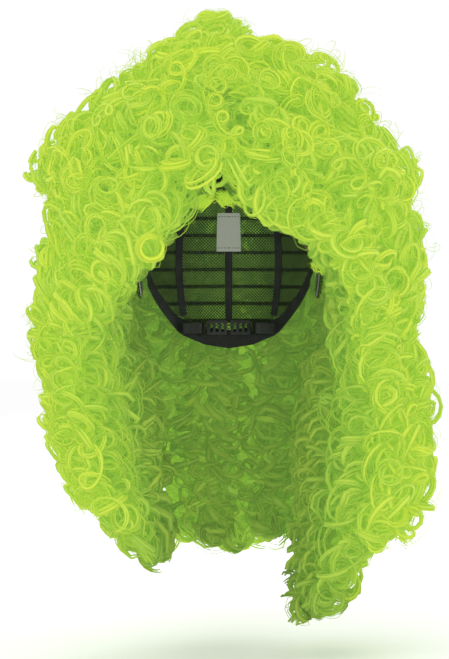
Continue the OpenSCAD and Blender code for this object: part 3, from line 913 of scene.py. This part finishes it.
def tube_faces(rows, around):
    """Faces of a closed tube made of rows rings of around points, with a cap at each end."""
    faces = []
    for start in range(0, (rows - 1) * around, around):
        for j in range(around):
            a, b = start + j, start + (j + 1) % around
            faces.append((a, b, b + around, a + around))
    faces.append(tuple(range(around))[::-1])
    faces.append(tuple(range((rows - 1) * around, rows * around)))
    return faces


def on_arc(sign, degrees, radius, z=STRAP_Z):
    """A point of the arc that an adjuster follows, from the back of the head."""
    a = np.radians(degrees)
    return np.array([sign * radius * np.sin(a), STRAP_AXIS_Y + radius * np.cos(a), z])


def strap_line(sign):
    """Evenly spaced points of the strap's centre line, with its corners rounded."""
    corners = np.array(STRAP_LINE, float)
    around = np.radians(np.diff(corners[:, 0])) * 43
    length = running_total(np.hypot(around, np.diff(corners[:, 1])))
    at = np.linspace(0, length[-1], LINE_POINTS)
    points = np.stack([on_arc(sign, *corner) for corner in resample(corners, length, at)])
    for _ in range(LINE_ROUNDS):
        points[1:-1] = (points[:-2] + 2 * points[1:-1] + points[2:]) / 4
    return points, at


def strap_webbing(sign):
    """Closed mesh of the woven elastic: rubber threads along it, fine ridges across it, thin selvedges."""
    points, at = strap_line(sign)
    normal = np.cross(unit(np.gradient(points, axis=0)), [0, 0, 1])
    v = np.linspace(-1, 1, 25) * STRAP_WIDE / 2
    half = STRAP_THICK / 2 * (1 - 0.4 * np.abs(v / v[-1]) ** 8) + 0.05 * np.cos(2 * np.pi * v / RIB_PITCH)
    ring_v = np.concatenate([v, v[::-1]])
    ring_h = np.concatenate([half, -half[::-1]])
    ridge = 1 + 0.09 * np.sin(2 * np.pi * at / RIDGE_PITCH)
    verts = points[:, None] + (normal[:, None] * (ring_h[None, :, None] * ridge[:, None, None]))
    verts = verts + np.array([0, 0, 1]) * ring_v[None, :, None]
    return verts.reshape(-1, 3), tube_faces(len(points), len(ring_v))


def bar_tack(sign, degrees, radius):
    """A close zigzag of sewing thread across the strap."""
    heights = STRAP_Z + np.linspace(-TACK_HALF, TACK_HALF, TACK_ROWS)
    turns = degrees + TACK_SWING * np.where(np.arange(TACK_ROWS) % 2, 1.0, -1.0)
    path = np.stack([on_arc(sign, turn, radius, height) for turn, height in zip(turns, heights)])
    tangent = unit(np.gradient(path, axis=0))
    side = unit(np.cross(tangent, [0, 0, 1]))
    up = np.cross(side, tangent)
    a = np.arange(TACK_SIDES) * 2 * np.pi / TACK_SIDES
    verts = path[:, None] + THREAD * (side[:, None] * np.cos(a)[:, None] + up[:, None] * np.sin(a)[:, None])
    return verts.reshape(-1, 3), tube_faces(TACK_ROWS, TACK_SIDES)


def elastic_piece(name, verts, faces):
    """A piece of black elastic, from points in mm."""
    mesh = bpy.data.meshes.new(name)
    mesh.from_pydata((verts * MM).tolist(), [], faces)
    bm = bmesh.new()
    bm.from_mesh(mesh)
    bmesh.ops.recalc_face_normals(bm, faces=bm.faces)
    bm.to_mesh(mesh)
    bm.free()
    mesh.materials.append(FINISH["black_elastic"])
    obj = add_to_scene(name, mesh)
    return obj


def adjuster_strap(side, sign):
    """The elastic from its sewn end to the hook, with the bar tacks that sew it."""
    verts, faces = [], []
    parts = [strap_webbing(sign), *(bar_tack(sign, *at) for at in TACKS)]
    for part_verts, part_faces in parts:
        start = sum(len(v) for v in verts)
        verts.append(part_verts)
        faces += [tuple(i + start for i in face) for face in part_faces]
    obj = elastic_piece(f"{side}_adjuster_webbing", np.concatenate(verts), faces)
    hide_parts(f"{side}_adjuster_strap")
    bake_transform(obj)


def ear_tab_binding(side, sign):
    """Folded tape that joins the ear tab to the edge of the cap."""
    around = np.linspace(0, 2 * np.pi, 16, endpoint=False)
    c, d = np.cos(around), np.sin(around)
    out = BINDING_HALF * np.sign(c) * np.sqrt(np.abs(c))
    z = EAR_TAB_Z + BINDING_TALL * np.sign(d) * np.sqrt(np.abs(d))
    azimuth = np.linspace(*EAR_TAB_U, 90)
    stitch = 1 + 0.12 * np.sin(np.arange(len(azimuth)) * 1.6)
    u = np.radians(azimuth)[:, None]
    grown = BINDING_OUT + out[None] * stitch[:, None]
    x = sign * (CAP[0] + grown) * np.sin(u)
    y = -(CAP[1] + grown) * np.cos(u)
    verts = np.stack([x, y, np.broadcast_to(z, x.shape)], -1)
    obj = elastic_piece(f"{side}_ear_tab_binding", verts.reshape(-1, 3), tube_faces(*x.shape))
    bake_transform(obj)


# ---------- floor, light and camera ----------

FLOOR_Z = -0.318
FLOOR_TONES = (0.965, 0.965, 0.965), (0.985, 0.985, 0.985)
WORLD_LIGHT = 1.0
LIGHTS = [  # name, place, aimed at, size, watts
    ("key", (-1.1, -1.4, 1.5), (0, 0, 0), 1.2, 9),
    ("fill", (1.2, -1.6, -0.1), (0, 0, -0.12), 1.4, 7),
    ("rim", (0.4, 1.6, 1.2), (0, 0, 0), 1.0, 8),
]
CAMERA_LENS, CAMERA_DISTANCE, CAMERA_TILT = 135, 1.976, 2  # mm, m, degrees
CAMERA_TARGET = (-0.0035, 0, -0.054)


def stage():
    """The pale floor and the even light all round."""
    bpy.ops.mesh.primitive_plane_add(size=8, location=(0, 0, FLOOR_Z))
    floor = bpy.context.object
    floor.name = "floor"
    look = Look("floor")
    dull, pale = FLOOR_TONES
    look.surface(look.ramp(look.noise(3), [(0.3, dull), (0.7, pale)]), 0.9)
    floor.data.materials.append(look.made)
    world = bpy.data.worlds.new("world")
    bpy.context.scene.world = world
    world.use_nodes = True
    background = world.node_tree.nodes["Background"]
    background.inputs["Color"].default_value = (1, 1, 1, 1)
    background.inputs["Strength"].default_value = WORLD_LIGHT


def aim(obj, location, target):
    """Puts a light or the camera at location, turned towards target."""
    obj.location = location
    obj.rotation_mode = "QUATERNION"
    obj.rotation_quaternion = (Vector(target) - Vector(location)).to_track_quat("-Z", "Y")


def area_light(name, location, target, size, power):
    """A square soft light."""
    data = bpy.data.lights.new(name, "AREA")
    data.size, data.energy = size, power
    aim(add_to_scene(name, data), location, target)


def camera():
    """The photo's view: level with the face and a little above it."""
    data = bpy.data.cameras.new("camera")
    data.lens = CAMERA_LENS
    tilt = math.radians(CAMERA_TILT)
    offset = Vector((0, -CAMERA_DISTANCE * math.cos(tilt), CAMERA_DISTANCE * math.sin(tilt)))
    obj = add_to_scene("camera", data)
    aim(obj, Vector(CAMERA_TARGET) + offset, CAMERA_TARGET)
    bpy.context.scene.camera = obj


# ---------- the whole scene ----------

grow_side_fall("left", 1, seed=10, outer_locks=64)
grow_crown("left", 1, seed=20)
grow_side_fall("right", -1, seed=11, outer_locks=56)
grow_crown("right", -1, seed=21)
grow_back_fall(seed=30)
finish_cad_nodes()
for side, sign in SIDES:
    adjuster_strap(side, sign)
    ear_tab_binding(side, sign)
stage()
for light in LIGHTS:
    area_light(*light)
camera()
bpy.context.scene.view_settings.view_transform = "Standard"
